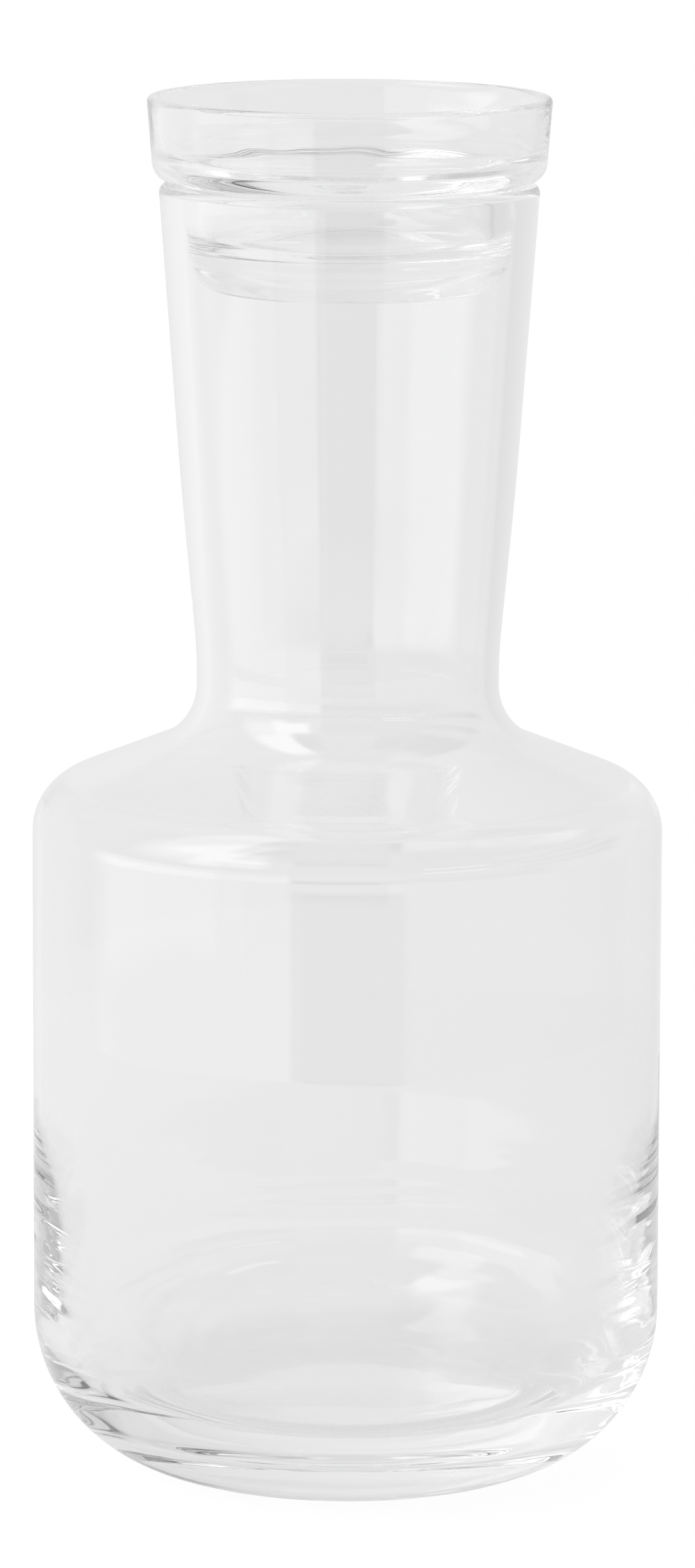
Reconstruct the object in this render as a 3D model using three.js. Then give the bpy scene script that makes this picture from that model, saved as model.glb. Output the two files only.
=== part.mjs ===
// A table carafe of clear blown glass: a vessel with a flared neck, and a hollow glass stopper.
// Millimetres, +Z up, origin on the table at the centre of the vessel's foot.
import * as THREE from "three";

// Vessel, outside. Rounds are the radii of rounded corners.
const bodyRadius = 56;
const bodyHeight = 122.5; // table to the corner of wall and shoulder, before rounding
const baseRound = 29;
const shoulderSlope = 21.8; // degrees above level
const shoulderRound = 10.5;
const waistRadius = 26.8; // narrowest part of the neck
const waistLength = 13.1; // neck root to the start of the flare
const neckRootRound = 11;
const flareRound = 90; // from the upright waist into the flare
const lowerNeckLength = 29.7;
const lowerNeckFlare = 2.8; // growth in radius over the lower neck
const upperNeckLength = 53.6;
const upperNeckFlare = 4;
const neckBow = 600; // radius of the faint bow where lower and upper neck meet
const lipRound = 1.5;

// Vessel, glass thickness
const bodyWall = 1.4;
const shoulderWall = 2.1;
const waistWall = 2.4;
const midNeckWall = 3.3;
const mouthWall = 4;
const heelWall = 4.4; // at the height where the base starts to round
const heelRise = 31; // from there up to the even body wall
const heelBlend = 120; // radius of the bend between heel and body wall, inside
const floorThickness = 12;
const innerBaseRound = 16;

// Vessel, underside and inner floor
const footWidth = 6; // flat standing ring
const puntDepth = 0.4; // faint hollow inside the ring
const puntSlant = 14; // width of the hollow's sloping edge
const puntRound = 150;
const floorRise = 3.6; // low dome of the inner floor
const floorDomeInset = 0.5; // from the inner base round to the foot of the dome
const floorDomeSlant = 16.4;
const floorDomeRound = 150;
const floorValleyRound = 1.5; // at the foot of the dome

// Stopper, outside
const seatGap = 0.3; // above the lip
const plugClearance = 0.5; // to the neck, all round
const plugDepth = 18.9; // ledge to the underside
const plugRound = 7;
const ledgeFillet = 1;
const ledgeRound = 3.7;
const ledgeOverhang = 0.9; // beyond the lip
const headHeight = 15.1; // ledge to the rim
const headFlare = 1.2;

// Stopper, glass thickness and inside
const rimWall = 2.2;
const rimRound = 0.95;
const dishDepth = 11; // rim to the bend into the throat
const dishWall = 2.6;
const dishRound = 5;
const throatDrop = 4; // height of the slope from the dish to the plug
const throatRound = 5;
const plugWall = 3.6;
const plugFloor = 7.3;
const plugInnerRound = 4;
const domeRise = 4.2; // dome of the stopper's floor
const domeInset = 4.5; // from the plug's inner wall to the foot of the dome
const domeSlant = 10;
const domeRound = 46;
const domeValleyRound = 3; // at the foot of the dome

// Smoothness of the turned shapes
const turnSteps = 40;
const chordError = 0.12; // furthest an arc's chords lie from the true round

const glassColor = 0xe9eceb;
const glassRoughness = 0.03;
const glassOpacity = 0.35;

// A corner of an outline, at a radius from the axis and a height above the table.
function corner(radius, height, round = 0) {
  return { point: new THREE.Vector2(radius, height), round };
}

// The radius at a height on the straight line through two points of an outline.
function radiusOnLine(low, high, height) {
  return low.x + ((high.x - low.x) * (height - low.y)) / (high.y - low.y);
}

// Half the angle between the two straight stretches that meet at a corner.
function halfAngle(before, at, after) {
  const back = before.clone().sub(at).normalize();
  const ahead = after.clone().sub(at).normalize();
  return Math.acos(THREE.MathUtils.clamp(back.dot(ahead), -1, 1)) / 2;
}

// How far from its corner each round starts. Two rounds that meet share the stretch between them.
function roundStarts(corners) {
  const wanted = corners.map(({ point, round }, i) =>
    round ? round / Math.tan(halfAngle(corners[i - 1].point, point, corners[i + 1].point)) : 0,
  );
  const share = (i, j) => {
    const stretch = corners[i].point.distanceTo(corners[j].point);
    return Math.min(1, stretch / (wanted[i] + wanted[j] || stretch));
  };
  return wanted.map((start, i) => (start ? start * Math.min(share(i - 1, i), share(i, i + 1)) : 0));
}

// The points of an outline, with an arc in place of each corner that has a round.
function roundedOutline(corners) {
  const starts = roundStarts(corners);
  return corners.flatMap(({ point }, i) => {
    if (!starts[i]) return [point];
    const before = corners[i - 1].point;
    const after = corners[i + 1].point;
    const half = halfAngle(before, point, after);
    const radius = starts[i] * Math.tan(half);
    const back = before.clone().sub(point).normalize();
    const ahead = after.clone().sub(point).normalize();
    const inward = back.clone().add(ahead).normalize();
    const centre = point.clone().addScaledVector(inward, radius / Math.sin(half));
    const first = point.clone().addScaledVector(back, starts[i]).sub(centre);
    const turn = Math.PI - 2 * half;
    const side = Math.sign(back.cross(ahead)) || 1;
    const steps = Math.ceil(turn / (2 * Math.acos(1 - Math.min(1, chordError / radius))));
    return Array.from({ length: steps + 1 }, (_, k) =>
      first
        .clone()
        .rotateAround(new THREE.Vector2(), (-side * turn * k) / steps)
        .add(centre),
    );
  });
}

// A glass piece turned about +Z from an outline that starts and ends on the axis.
function turnedGlass(name, corners) {
  const geometry = new THREE.LatheGeometry(roundedOutline(corners), turnSteps);
  geometry.rotateX(Math.PI / 2);
  const material = new THREE.MeshStandardMaterial({
    color: glassColor,
    roughness: glassRoughness,
    metalness: 0,
    transparent: true,
    opacity: glassOpacity,
  });
  const mesh = new THREE.Mesh(geometry, material);
  mesh.name = name;
  return mesh;
}

// Heights and radii that both pieces share
const slope = THREE.MathUtils.degToRad(shoulderSlope);
const coneHeight = (radius) => bodyHeight + (bodyRadius - radius) * Math.tan(slope);
const waistTop = coneHeight(waistRadius) + waistLength;
const midNeckHeight = waistTop + lowerNeckLength;
const midNeckRadius = waistRadius + lowerNeckFlare;
const mouthHeight = midNeckHeight + upperNeckLength;
const mouthRadius = midNeckRadius + upperNeckFlare;
const innerMidNeck = new THREE.Vector2(midNeckRadius - midNeckWall, midNeckHeight);
const innerMouth = new THREE.Vector2(mouthRadius - mouthWall, mouthHeight);

function makeVessel() {
  const footRadius = bodyRadius - baseRound;
  const ringInside = footRadius - footWidth;
  const innerBody = bodyRadius - bodyWall;
  const innerWaist = waistRadius - waistWall;
  const innerCone = (radius) => coneHeight(radius) - shoulderWall / Math.cos(slope);
  const heelTop = new THREE.Vector2(innerBody, baseRound + heelRise);
  const heelFoot = new THREE.Vector2(bodyRadius - heelWall, baseRound);
  const innerHeel = radiusOnLine(heelFoot, heelTop, floorThickness);
  const domeFoot = innerHeel - innerBaseRound - floorDomeInset;
  const domeTop = floorThickness + floorRise;
  return turnedGlass("vessel", [
    corner(0, puntDepth),
    corner(ringInside - puntSlant, puntDepth, puntRound),
    corner(ringInside, 0),
    corner(bodyRadius, 0, baseRound),
    corner(bodyRadius, bodyHeight, shoulderRound),
    corner(waistRadius, coneHeight(waistRadius), neckRootRound),
    corner(waistRadius, waistTop, flareRound),
    corner(midNeckRadius, midNeckHeight, neckBow),
    corner(mouthRadius, mouthHeight, lipRound),
    corner(innerMouth.x, innerMouth.y, lipRound),
    corner(innerMidNeck.x, innerMidNeck.y, neckBow),
    corner(innerWaist, waistTop, flareRound),
    corner(innerWaist, innerCone(innerWaist), neckRootRound + waistWall),
    corner(innerBody, innerCone(innerBody), shoulderRound - shoulderWall),
    corner(heelTop.x, heelTop.y, heelBlend),
    corner(innerHeel, floorThickness, innerBaseRound),
    corner(domeFoot, floorThickness, floorValleyRound),
    corner(domeFoot - floorDomeSlant, domeTop, floorDomeRound),
    corner(0, domeTop),
  ]);
}

function makeStopper() {
  const ledge = mouthHeight + seatGap;
  const underside = ledge - plugDepth;
  const rim = ledge + headHeight;
  const plugRadius = (height) => radiusOnLine(innerMidNeck, innerMouth, height) - plugClearance;
  const ledgeRadius = mouthRadius + ledgeOverhang;
  const rimRadius = ledgeRadius + headFlare;
  const bend = new THREE.Vector2(rimRadius, rim - dishDepth);
  bend.x = radiusOnLine(new THREE.Vector2(ledgeRadius, ledge), new THREE.Vector2(rimRadius, rim), bend.y);
  const throat = bend.y - throatDrop;
  const floor = underside + plugFloor;
  const innerPlug = plugRadius(floor) - plugWall;
  const domeFoot = innerPlug - domeInset;
  return turnedGlass("stopper", [
    corner(0, underside),
    corner(plugRadius(underside), underside, plugRound),
    corner(plugRadius(ledge), ledge, ledgeFillet),
    corner(ledgeRadius, ledge, ledgeRound),
    corner(rimRadius, rim, rimRound),
    corner(rimRadius - rimWall, rim, rimRound),
    corner(bend.x - dishWall, bend.y, dishRound),
    corner(plugRadius(throat) - plugWall, throat, throatRound),
    corner(innerPlug, floor, plugInnerRound),
    corner(domeFoot, floor, domeValleyRound),
    corner(domeFoot - domeSlant, floor + domeRise, domeRound),
    corner(0, floor + domeRise),
  ]);
}

const carafe = new THREE.Group();
carafe.add(makeVessel(), makeStopper());

export default carafe;
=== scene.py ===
"""A clear blown-glass carafe with its glass stopper, on a white table in soft studio light."""
import math

import bpy
from mathutils import Matrix, Vector, noise


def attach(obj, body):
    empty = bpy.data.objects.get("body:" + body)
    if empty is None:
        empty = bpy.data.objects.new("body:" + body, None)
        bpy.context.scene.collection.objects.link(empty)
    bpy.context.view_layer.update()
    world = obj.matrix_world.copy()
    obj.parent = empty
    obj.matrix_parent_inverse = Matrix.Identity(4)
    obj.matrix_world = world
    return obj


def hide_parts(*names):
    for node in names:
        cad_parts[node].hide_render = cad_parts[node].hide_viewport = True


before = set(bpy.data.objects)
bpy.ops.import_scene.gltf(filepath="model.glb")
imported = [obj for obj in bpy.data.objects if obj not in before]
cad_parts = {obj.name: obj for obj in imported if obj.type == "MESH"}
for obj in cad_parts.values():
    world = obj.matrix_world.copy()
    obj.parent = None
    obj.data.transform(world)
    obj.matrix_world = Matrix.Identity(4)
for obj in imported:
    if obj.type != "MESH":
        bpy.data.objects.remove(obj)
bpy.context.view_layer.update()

MM = 0.001

# Vessel outside, in millimetres: radii from the upright axis, heights from the table
BODY_RADIUS = 56
BODY_HEIGHT = 122.5
BASE_ROUND = 29
SHOULDER_SLOPE = math.radians(21.8)
SHOULDER_ROUND = 10.5
WAIST_RADIUS = 26.8
WAIST_LENGTH = 13.1
NECK_ROOT_ROUND = 11
FLARE_ROUND = 90
LOWER_NECK_LENGTH = 29.7
LOWER_NECK_FLARE = 2.8
UPPER_NECK_LENGTH = 53.6
UPPER_NECK_FLARE = 4
NECK_BOW = 600
LIP_ROUND = 1.5

# Vessel glass thickness, underside and inner floor
BODY_WALL = 1.4
SHOULDER_WALL = 2.1
WAIST_WALL = 2.4
MID_NECK_WALL = 3.3
MOUTH_WALL = 4
HEEL_WALL = 4.4
HEEL_RISE = 31
HEEL_BLEND = 120
FLOOR_THICKNESS = 12
INNER_BASE_ROUND = 16
FOOT_WIDTH = 6
PUNT_DEPTH = 0.4
PUNT_SLANT = 14
PUNT_ROUND = 150
FLOOR_RISE = 3.6
FLOOR_DOME_INSET = 0.5
FLOOR_DOME_SLANT = 16.4
FLOOR_DOME_ROUND = 150
FLOOR_VALLEY_ROUND = 1.5

# Stopper
SEAT_GAP = 0.3
PLUG_CLEARANCE = 0.5
PLUG_DEPTH = 18.9
PLUG_ROUND = 7
LEDGE_FILLET = 1
LEDGE_ROUND = 3.7
LEDGE_OVERHANG = 0.9
HEAD_HEIGHT = 15.1
HEAD_FLARE = 1.2
RIM_WALL = 2.2
RIM_ROUND = 0.95
DISH_DEPTH = 11
DISH_WALL = 2.6
DISH_ROUND = 5
THROAT_DROP = 4
THROAT_ROUND = 5
PLUG_WALL = 3.6
PLUG_FLOOR = 7.3
PLUG_INNER_ROUND = 4
DOME_RISE = 4.2
DOME_INSET = 4.5
DOME_SLANT = 10
DOME_ROUND = 46
DOME_VALLEY_ROUND = 3

# Smoothness of the turned skins. Steps are finer on the stopper's inside, and on the vessel's
# inside beyond FINE_RADIUS and below FINE_HEIGHT
CHORD_ERROR = 0.004
LONGEST_STEP = 2.5
HEEL_STEP = 0.5
FINE_RADIUS = 20
FINE_HEIGHT = 66
STOPPER_STEP = 0.7
TURN_STEPS = 192

# Unevenness of the hand-blown inside: how high each kind of wave is, its length across, its
# length upright and its seed, and the heights over which it rises and dies away
SWELL = 0.04
SWELL_WAVE = (26, 34, 3.1)
HEEL_RIPPLE = 0.022
HEEL_RIPPLE_WAVE = (15, 1.9, 11.7)
HEEL_RIPPLE_SPAN = (13, 20, 38, 50)
HEEL_ROPE = 0.06
HEEL_ROPE_WAVE = (16, 7, 5.3)
HEEL_ROPE_SPAN = (13.5, 20, 40, 60)
STOPPER_SWELL = 0.08
STOPPER_SWELL_WAVE = (14, 10, 7.9)
STOPPER_RIPPLE = 0.03
STOPPER_RIPPLE_WAVE = (7, 2.6, 2.3)
CALM_RADIUS = 20  # the waves grow from the axis out to here

# The glass surface: lengths in metres
GLASS_IOR = 1.5
GLASS_BOUNCES = 200  # light that is caught in the thick base takes many
WAVE_LENGTH = 0.022
WAVE_HEIGHT = 0.00003
WHITE = (1, 1, 1, 1)
LESS_CLEAR = (0.996, 0.998, 0.997, 1)

# The photograph's camera, in metres and degrees
IMAGE_HEIGHT = 2257
FOCAL_PIXELS = 12061.8
SENSOR = 36
CAMERA_DISTANCE = 1.470
CAMERA_HEIGHT = 0.375
CAMERA_TILT = 9.711
CAMERA_ROLL = 0.2

# The studio: brightness by direction, where 1 is white. BACK_EDGE and TOP_SPLIT say how far a
# direction points to the back, from -1 to 1. The other edges are degrees above level
FRONT_ROOM = 0.35
BACKDROP = 0.828
BACKDROP_FALL = 0.12
BACKDROP_TOP = 0.77
BACKDROP_TOP_EDGE = (18, 24)
BACK_EDGE = (-0.4, 0)
FRONT_CEILING = 0.15
BACK_CEILING = 0.8
CEILING_EDGE = (36, 48)
FRONT_TOP = 0.5
BACK_TOP = 0.84
TOP_EDGE = (62, 74)
TOP_SPLIT = (-0.12, 0.12)
GROUND = 0.83
GROUND_EDGE = (-20, -18)

# The table, in metres. Most of its light is its own, so that it stays even. TABLE and TABLE_GLOW
# are the brightness and share of that light in the glass, the SEEN ones are for the camera
TABLE_RADIUS = 0.44
TABLE_STEPS = 128
TABLE_DROP = 0.0002  # below the foot
TABLE_COLOR = (0.8, 0.8, 0.8, 1)
TABLE_ROUGHNESS = 0.9
TABLE = 0.892
TABLE_PAINTED_LIGHT_FALL = 0.3  # painted light: the glow is brighter on the left, where the light comes from, and falls to the right, per metre
TABLE_GLOW = 0.75
# Painted shade: the table's glow is darker beside the foot, where the carafe's contact shadow falls
FOOT_PAINTED_SHADE = 0.94
FOOT_PAINTED_SHADE_EDGE = (0.02, 0.08)  # distances from the axis
TABLE_SEEN = 1.11
TABLE_GLOW_SEEN = 0.85

# Each panel's azimuths and heights in degrees, over which it fades in and out, and its brightness.
# Azimuth 0 is towards the camera and 90 is left
PANELS = (
    ((-23, -19, 19, 23), (-20, -18, -13.2, -12.4), 0.0),
    ((-23, -19, 19, 23), (-13.2, -12.4, -3, 0), 0.05),
    ((-23, -19, 19, 23), (-10, -9.6, -8.4, -7.8), 0.9),
    ((-23, -19, 19, 23), (-3, 0, 5, 8), 0.65),
    ((-23, -19, 19, 23), (5, 8, 18, 22), 0.52),
    ((-32, -22, 22, 32), (34, 44, 64, 74), 0.6),
    ((19, 23, 44, 50), (-20, -18, 5, 8), 1.5),
    ((44, 50, 92, 108), (-20, -18, 5, 8), 1.9),
    ((19, 23, 35, 40), (-13.2, -12.4, -9.5, -6), 1.15),
    ((19, 23, 92, 108), (-13.2, -12.4, -11.1, -10.75), 1.2),
    ((19, 23, 44, 50), (-4, 0, 3, 5), 1.5),
    ((44, 50, 92, 108), (-4, 0, 3, 5), 2.05),
    ((19, 23, 92, 108), (5, 8, 34, 46), 0.75),
    ((46, 54, 78, 94), (7, 26, 66, 80), 2.4),
    ((28, 36, 70, 80), (20, 25, 34, 42), 2.6),
    ((-125, -112, -66, -58), (4, 8, 36, 42), 0.62),
    ((-125, -112, -66, -58), (8, 10, 13, 15), 0.12),
    ((-125, -112, -66, -58), (22, 26, 28, 32), 0.2),
    ((-125, -112, -66, -58), (36, 42, 60, 70), 0.12),
    ((-112, -104, -23, -19), (-13.2, -12.4, -9, -6), 0.75),
    ((-70, -62, -23, -19), (4, 6, 10, 13), 0.75),
    ((-70, -62, -23, -19), (10, 13, 18, 22), 0.4),
    ((-56, -50, -30, -26), (14, 15, 16, 17), 2.2),
)

# The same for what shows through the glass, a paler and more even ground
SEEN_THROUGH = (
    ((12, 18, 122, 128), (-22, -20, -7, -5), 0.86),
    ((40, 46, 122, 128), (6, 9, 17, 21), 0.86),
    ((60, 68, 122, 128), (15, 18, 36, 44), 0.86),
    ((-27, -23, 12, 18), (-22, -20, -10.3, -9.9), 0.5),
    ((-27, -23, 12, 18), (-8, -7.6, -2, 0), 0.5),
    ((-128, -122, -27, -23), (-22, -20, -7, -5), 0.62),
)


def corner(radius, height, rounding=0):
    return Vector((radius, height)), rounding


def radius_on_line(low, high, height):
    return low.x + (high.x - low.x) * (height - low.y) / (high.y - low.y)


def half_angle(before, at, after):
    return (before - at).angle(after - at) / 2


def round_starts(corners):
    """How far from its corner each round starts. Two that meet share the stretch between them."""
    wanted = []
    for i, (point, rounding) in enumerate(corners):
        start = 0
        if rounding:
            start = rounding / math.tan(half_angle(corners[i - 1][0], point, corners[i + 1][0]))
        wanted.append(start)

    def share(i, j):
        stretch = (corners[i][0] - corners[j][0]).length
        return min(1, stretch / ((wanted[i] + wanted[j]) or stretch))

    return [w and w * min(share(i - 1, i), share(i, i + 1)) for i, w in enumerate(wanted)]


def rounded_outline(corners):
    """The outline's points, with an arc in place of each corner that has a round."""
    points = []
    starts = round_starts(corners)
    for i, (point, _) in enumerate(corners):
        if not starts[i]:
            points.append(point)
            continue
        before = corners[i - 1][0]
        after = corners[i + 1][0]
        half = half_angle(before, point, after)
        radius = starts[i] * math.tan(half)
        back = (before - point).normalized()
        ahead = (after - point).normalized()
        centre = point + (back + ahead).normalized() * radius / math.sin(half)
        first = point + back * starts[i] - centre
        turn = math.copysign(math.pi - 2 * half, -back.cross(ahead))
        steps = math.ceil(abs(turn) / (2 * math.acos(1 - CHORD_ERROR / radius)))
        for k in range(steps + 1):
            c, s = math.cos(turn * k / steps), math.sin(turn * k / steps)
            points.append(centre + Vector((c * first.x - s * first.y, s * first.x + c * first.y)))
    return points


def stepped(points, longest):
    """The same outline with no step longer than longest allows at its middle."""
    fine = [points[0]]
    for low, high in zip(points, points[1:]):
        steps = math.ceil((high - low).length / longest((low + high) / 2))
        fine += [low.lerp(high, k / steps) for k in range(1, steps + 1)]
    return fine


def wave(spot, across, upright, seed):
    """Smooth noise between -1 and 1, with waves about so long across and upright."""
    return noise.noise(Vector((spot.x / across, spot.y / across, spot.z / upright + seed)))


def turned_skin(name, corners, longest, ripple):
    """A closed skin turned about the upright axis from an outline that starts and ends on it.

    The inside, which follows the outline's highest point, is pushed along its normals by ripple.
    """
    outline = rounded_outline(corners)
    highest = max(range(len(outline)), key=lambda i: outline[i].y)
    outside = stepped(outline[:highest + 1], lambda at: LONGEST_STEP)
    outline = outside + stepped(outline[highest:], longest)[1:]
    rings = outline[1:-1]
    verts = []
    for i, point in enumerate(rings):
        run = (outline[i + 2] - outline[i]).normalized()
        normal = Vector((run.y, -run.x))
        for k in range(TURN_STEPS):
            angle = 2 * math.pi * k / TURN_STEPS
            c, s = math.cos(angle), math.sin(angle)
            at = point
            if i >= len(outside):
                at = point + normal * ripple(Vector((point.x * c, point.x * s, point.y)))
            verts.append((at.x * c * MM, at.x * s * MM, at.y * MM))
    first, last = len(verts), len(verts) + 1
    verts += [(0, 0, outline[0].y * MM), (0, 0, outline[-1].y * MM)]
    faces = []
    top = (len(rings) - 1) * TURN_STEPS
    for k in range(TURN_STEPS):
        after = (k + 1) % TURN_STEPS
        faces.append((first, after, k))
        faces.append((last, top + k, top + after))
        for ring in range(0, top, TURN_STEPS):
            faces.append((ring + k, ring + after, ring + TURN_STEPS + after, ring + TURN_STEPS + k))
    mesh = bpy.data.meshes.new(name)
    mesh.from_pydata(verts, [], faces)
    mesh.shade_smooth()
    piece = bpy.data.objects.new(name, mesh)
    bpy.context.scene.collection.objects.link(piece)
    return piece


def between(value, low, full, fading, high):
    """0 outside low and high, 1 between full and fading, straight slopes between."""
    return max(0, min(1, (value - low) / (full - low), (high - value) / (high - fading)))


def calm(spot):
    """0 on the axis, 1 from the calm radius outwards."""
    return min(1, math.hypot(spot.x, spot.y) / CALM_RADIUS)


def vessel_step(at):
    return HEEL_STEP if at.x > FINE_RADIUS and at.y < FINE_HEIGHT else LONGEST_STEP


def vessel_ripple(spot):
    """Long soft waves all over, and closer ripples and ropes where the heel thickens."""
    swell = SWELL * wave(spot, *SWELL_WAVE)
    ripple = HEEL_RIPPLE * between(spot.z, *HEEL_RIPPLE_SPAN) * wave(spot, *HEEL_RIPPLE_WAVE)
    rope = HEEL_ROPE * between(spot.z, *HEEL_ROPE_SPAN) * wave(spot, *HEEL_ROPE_WAVE)
    return calm(spot) * (swell + ripple + rope)


def stopper_step(at):
    return STOPPER_STEP


def stopper_ripple(spot):
    swell = STOPPER_SWELL * wave(spot, *STOPPER_SWELL_WAVE)
    ripple = STOPPER_RIPPLE * wave(spot, *STOPPER_RIPPLE_WAVE)
    return calm(spot) * (swell + ripple)


# Heights and radii that both pieces share
def cone_height(radius):
    return BODY_HEIGHT + (BODY_RADIUS - radius) * math.tan(SHOULDER_SLOPE)


WAIST_TOP = cone_height(WAIST_RADIUS) + WAIST_LENGTH
MID_NECK = Vector((WAIST_RADIUS + LOWER_NECK_FLARE, WAIST_TOP + LOWER_NECK_LENGTH))
MOUTH = MID_NECK + Vector((UPPER_NECK_FLARE, UPPER_NECK_LENGTH))
INNER_MID_NECK = MID_NECK - Vector((MID_NECK_WALL, 0))
INNER_MOUTH = MOUTH - Vector((MOUTH_WALL, 0))


def vessel_corners():
    ring_inside = BODY_RADIUS - BASE_ROUND - FOOT_WIDTH
    inner_body = BODY_RADIUS - BODY_WALL
    inner_waist = WAIST_RADIUS - WAIST_WALL
    cone_drop = SHOULDER_WALL / math.cos(SHOULDER_SLOPE)
    heel_top = Vector((inner_body, BASE_ROUND + HEEL_RISE))
    heel_foot = Vector((BODY_RADIUS - HEEL_WALL, BASE_ROUND))
    inner_heel = radius_on_line(heel_foot, heel_top, FLOOR_THICKNESS)
    dome_foot = inner_heel - INNER_BASE_ROUND - FLOOR_DOME_INSET
    dome_top = FLOOR_THICKNESS + FLOOR_RISE
    return [
        corner(0, PUNT_DEPTH),
        corner(ring_inside - PUNT_SLANT, PUNT_DEPTH, PUNT_ROUND),
        corner(ring_inside, 0),
        corner(BODY_RADIUS, 0, BASE_ROUND),
        corner(BODY_RADIUS, BODY_HEIGHT, SHOULDER_ROUND),
        corner(WAIST_RADIUS, cone_height(WAIST_RADIUS), NECK_ROOT_ROUND),
        corner(WAIST_RADIUS, WAIST_TOP, FLARE_ROUND),
        corner(*MID_NECK, NECK_BOW),
        corner(*MOUTH, LIP_ROUND),
        corner(*INNER_MOUTH, LIP_ROUND),
        corner(*INNER_MID_NECK, NECK_BOW),
        corner(inner_waist, WAIST_TOP, FLARE_ROUND),
        corner(inner_waist, cone_height(inner_waist) - cone_drop, NECK_ROOT_ROUND + WAIST_WALL),
        corner(inner_body, cone_height(inner_body) - cone_drop, SHOULDER_ROUND - SHOULDER_WALL),
        corner(*heel_top, HEEL_BLEND),
        corner(inner_heel, FLOOR_THICKNESS, INNER_BASE_ROUND),
        corner(dome_foot, FLOOR_THICKNESS, FLOOR_VALLEY_ROUND),
        corner(dome_foot - FLOOR_DOME_SLANT, dome_top, FLOOR_DOME_ROUND),
        corner(0, dome_top),
    ]


def stopper_corners():
    ledge = MOUTH.y + SEAT_GAP
    underside = ledge - PLUG_DEPTH
    rim = ledge + HEAD_HEIGHT
    ledge_edge = Vector((MOUTH.x + LEDGE_OVERHANG, ledge))
    rim_edge = Vector((ledge_edge.x + HEAD_FLARE, rim))
    bend = rim - DISH_DEPTH
    throat = bend - THROAT_DROP
    floor = underside + PLUG_FLOOR

    def plug_radius(height):
        return radius_on_line(INNER_MID_NECK, INNER_MOUTH, height) - PLUG_CLEARANCE

    inner_plug = plug_radius(floor) - PLUG_WALL
    dome_foot = inner_plug - DOME_INSET
    return [
        corner(0, underside),
        corner(plug_radius(underside), underside, PLUG_ROUND),
        corner(plug_radius(ledge), ledge, LEDGE_FILLET),
        corner(*ledge_edge, LEDGE_ROUND),
        corner(*rim_edge, RIM_ROUND),
        corner(rim_edge.x - RIM_WALL, rim, RIM_ROUND),
        corner(radius_on_line(ledge_edge, rim_edge, bend) - DISH_WALL, bend, DISH_ROUND),
        corner(plug_radius(throat) - PLUG_WALL, throat, THROAT_ROUND),
        corner(inner_plug, floor, PLUG_INNER_ROUND),
        corner(dome_foot, floor, DOME_VALLEY_ROUND),
        corner(dome_foot - DOME_SLANT, floor + DOME_RISE, DOME_ROUND),
        corner(0, floor + DOME_RISE),
    ]


class Nodes:
    """Adds nodes to a tree, with plain numbers or other nodes' outputs as inputs."""

    def __init__(self, tree):
        self.tree = tree

    def add(self, kind, *values, **settings):
        node = self.tree.nodes.new(kind)
        for key, value in settings.items():
            setattr(node, key, value)
        for socket, value in zip(node.inputs, values):
            self.put(socket, value)
        return node

    def put(self, socket, value):
        if isinstance(value, bpy.types.NodeSocket):
            self.tree.links.new(value, socket)
        else:
            socket.default_value = value

    def math(self, operation, *values):
        return self.add("ShaderNodeMath", *values, operation=operation).outputs[0]

    def step(self, value, low, high):
        """0 below low, 1 above high, smooth between."""
        smooth = self.add("ShaderNodeMapRange", value, low, high, interpolation_type="SMOOTHSTEP")
        return smooth.outputs[0]

    def blend(self, part, a, b):
        """a where part is 0, b where it is 1."""
        rest = self.math("MULTIPLY", a, self.math("SUBTRACT", 1.0, part))
        return self.math("ADD", rest, self.math("MULTIPLY", b, part))

    def patch(self, value, low, full, fading, high):
        """1 between full and fading, 0 outside low and high, smooth between."""
        return self.math("MULTIPLY", self.step(value, low, full), self.step(value, high, fading))


def glass_material():
    """Clear glass with a faintly wavy fire-polished surface and faintly less clear patches."""
    material = bpy.data.materials.new("clear_glass")
    material.use_nodes = True
    n = Nodes(material.node_tree)
    shader = material.node_tree.nodes["Principled BSDF"]
    shader.inputs["Roughness"].default_value = 0.0
    shader.inputs["IOR"].default_value = GLASS_IOR
    shader.inputs["Transmission Weight"].default_value = 1.0
    spot = n.add("ShaderNodeTexCoord").outputs["Object"]
    waves = n.add("ShaderNodeTexNoise")
    n.put(waves.inputs["Vector"], spot)
    n.put(waves.inputs["Scale"], 1 / WAVE_LENGTH)
    n.put(waves.inputs["Detail"], 0.0)
    bump = n.add("ShaderNodeBump")
    n.put(bump.inputs["Strength"], 1.0)
    n.put(bump.inputs["Distance"], WAVE_HEIGHT)
    n.put(bump.inputs["Height"], waves.outputs["Fac"])
    n.put(shader.inputs["Normal"], bump.outputs["Normal"])
    clarity = n.add("ShaderNodeValToRGB", waves.outputs["Fac"])
    clarity.color_ramp.elements[0].color = LESS_CLEAR
    clarity.color_ramp.elements[1].color = WHITE
    n.put(shader.inputs["Base Color"], clarity.outputs["Color"])
    return material


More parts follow.
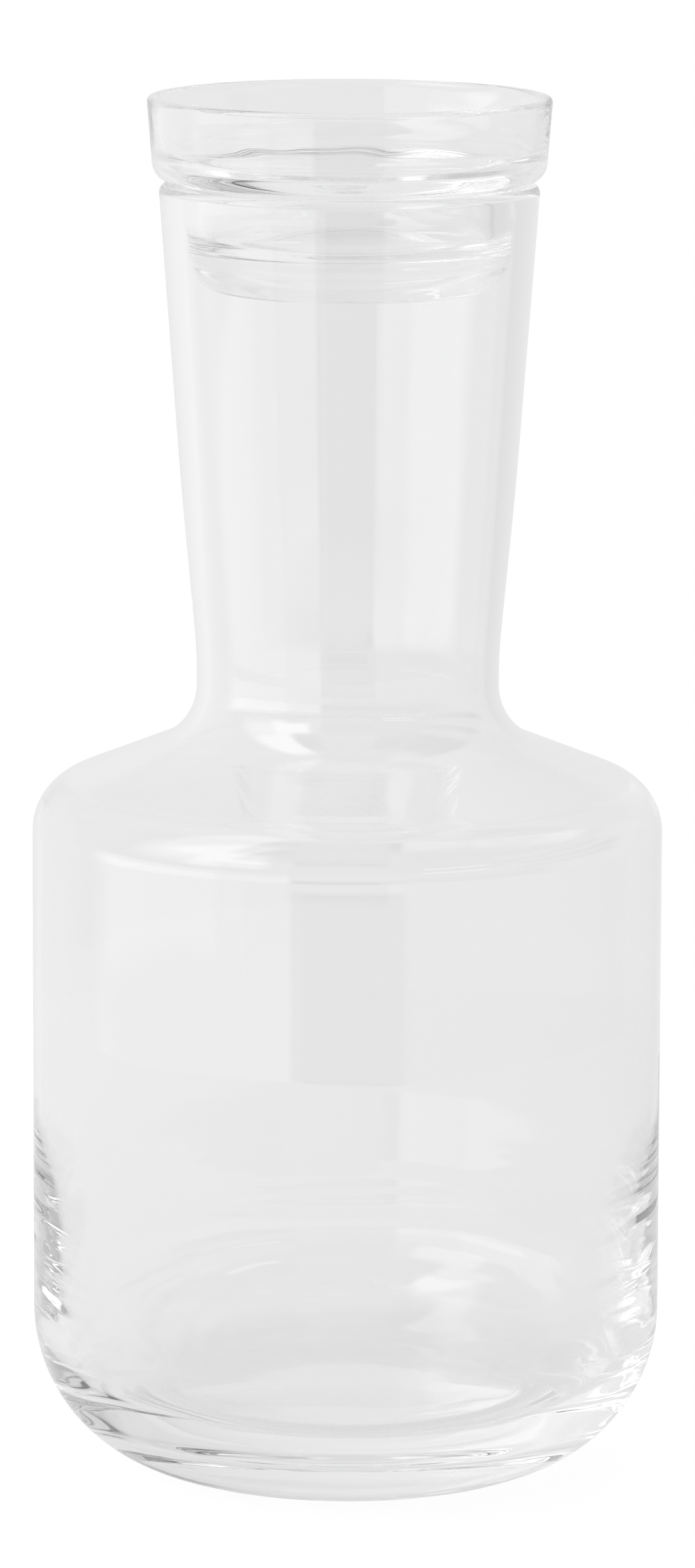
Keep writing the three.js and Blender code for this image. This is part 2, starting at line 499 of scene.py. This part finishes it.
def make_world():
    """A dim room in front with lit and dark panels, and a pale backdrop. The camera sees white."""
    world = bpy.data.worlds.new("studio")
    world.use_nodes = True
    bpy.context.scene.world = world
    n = Nodes(world.node_tree)
    way = n.add("ShaderNodeSeparateXYZ", n.add("ShaderNodeTexCoord").outputs["Generated"])
    x, y, z = way.outputs
    degree = 180 / math.pi
    left, front = n.math("MULTIPLY", x, -1.0), n.math("MULTIPLY", y, -1.0)
    across = n.math("MULTIPLY", n.math("ARCTAN2", left, front), degree)
    up = n.math("MULTIPLY", n.math("ARCSINE", z), degree)

    def window(sides, heights):
        return n.math("MULTIPLY", n.patch(across, *sides), n.patch(up, *heights))

    back = n.step(y, *BACK_EDGE)
    backdrop = n.blend(n.step(up, *BACKDROP_TOP_EDGE), BACKDROP, BACKDROP_TOP)
    backdrop = n.math("MULTIPLY_ADD", x, -BACKDROP_FALL, backdrop)
    level = n.blend(back, FRONT_ROOM, backdrop)
    ceiling = n.blend(back, FRONT_CEILING, BACK_CEILING)
    level = n.blend(n.step(up, *CEILING_EDGE), level, ceiling)
    top = n.blend(n.step(y, *TOP_SPLIT), FRONT_TOP, BACK_TOP)
    level = n.blend(n.step(up, *TOP_EDGE), level, top)
    level = n.blend(n.step(up, *GROUND_EDGE), GROUND, level)
    for sides, heights, brightness in PANELS:
        level = n.blend(window(sides, heights), level, brightness)
    path = n.add("ShaderNodeLightPath")
    refracted = path.outputs["Is Transmission Ray"]
    for sides, heights, brightness in SEEN_THROUGH:
        level = n.blend(n.math("MULTIPLY", window(sides, heights), refracted), level, brightness)
    level = n.blend(path.outputs["Is Camera Ray"], level, 1.0)
    n.put(world.node_tree.nodes["Background"].inputs["Strength"], level)
    world.node_tree.nodes["Background"].inputs["Color"].default_value = WHITE


def make_table():
    """A round pale table, white to the camera. For the glass to show, its glow has painted shade by
    the foot and a painted fall of light from left to right.
    """
    mesh = bpy.data.meshes.new("table_top")
    turns = [2 * math.pi * k / TABLE_STEPS for k in range(TABLE_STEPS)]
    verts = [(TABLE_RADIUS * math.cos(t), TABLE_RADIUS * math.sin(t), -TABLE_DROP) for t in turns]
    mesh.from_pydata(verts, [], [range(TABLE_STEPS)])
    table = bpy.data.objects.new("table_top", mesh)
    bpy.context.scene.collection.objects.link(table)
    material = bpy.data.materials.new("white_table")
    material.use_nodes = True
    n = Nodes(material.node_tree)
    shader = material.node_tree.nodes["Principled BSDF"]
    shader.inputs["Base Color"].default_value = TABLE_COLOR
    shader.inputs["Roughness"].default_value = TABLE_ROUGHNESS
    shader.inputs["Specular IOR Level"].default_value = 0.0
    seen = n.add("ShaderNodeLightPath").outputs["Is Camera Ray"]
    spot = n.add("ShaderNodeTexCoord").outputs["Object"]
    away = n.add("ShaderNodeVectorMath", spot, operation="LENGTH").outputs["Value"]
    across = n.add("ShaderNodeSeparateXYZ", spot).outputs["X"]
    # painted light: the table's glow falls from left to right
    glow_with_painted_fall = n.math("MULTIPLY_ADD", across, -TABLE_PAINTED_LIGHT_FALL, TABLE)
    # painted shade: the glow is darker beside the foot, standing in for the contact shadow
    glow_with_painted_shade = n.math("MULTIPLY", n.blend(n.step(away, *FOOT_PAINTED_SHADE_EDGE), FOOT_PAINTED_SHADE, 1.0), glow_with_painted_fall)
    glow = n.add("ShaderNodeEmission", WHITE, n.blend(seen, glow_with_painted_shade, TABLE_SEEN)).outputs[0]
    share = n.blend(seen, TABLE_GLOW, TABLE_GLOW_SEEN)
    mix = n.add("ShaderNodeMixShader", share, shader.outputs[0], glow)
    n.put(material.node_tree.nodes["Material Output"].inputs["Surface"], mix.outputs[0])
    mesh.materials.append(material)


def make_camera():
    """In front, above the stopper, and tilted down at the carafe."""
    data = bpy.data.cameras.new("camera")
    data.sensor_width = SENSOR
    data.lens = FOCAL_PIXELS * SENSOR / IMAGE_HEIGHT
    camera = bpy.data.objects.new("camera", data)
    camera.location = (0, -CAMERA_DISTANCE, CAMERA_HEIGHT)
    tilt = Matrix.Rotation(math.radians(90 - CAMERA_TILT), 3, "X")
    roll = Matrix.Rotation(math.radians(CAMERA_ROLL), 3, "Z")
    camera.rotation_euler = (tilt @ roll).to_euler()
    bpy.context.scene.collection.objects.link(camera)
    bpy.context.scene.camera = camera


glass = glass_material()
for node, body, corners, longest, ripple in (
    ("vessel", "vessel_body", vessel_corners(), vessel_step, vessel_ripple),
    ("stopper", "stopper_body", stopper_corners(), stopper_step, stopper_ripple),
):
    piece = turned_skin(node + "_glass", corners, longest, ripple)
    piece.data.materials.append(glass)
    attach(piece, body)
    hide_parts(node)

make_world()
make_table()
make_camera()

scene = bpy.context.scene
scene.view_settings.view_transform = "Standard"
scene.cycles.max_bounces = GLASS_BOUNCES
scene.cycles.transmission_bounces = GLASS_BOUNCES
scene.cycles.glossy_bounces = GLASS_BOUNCES
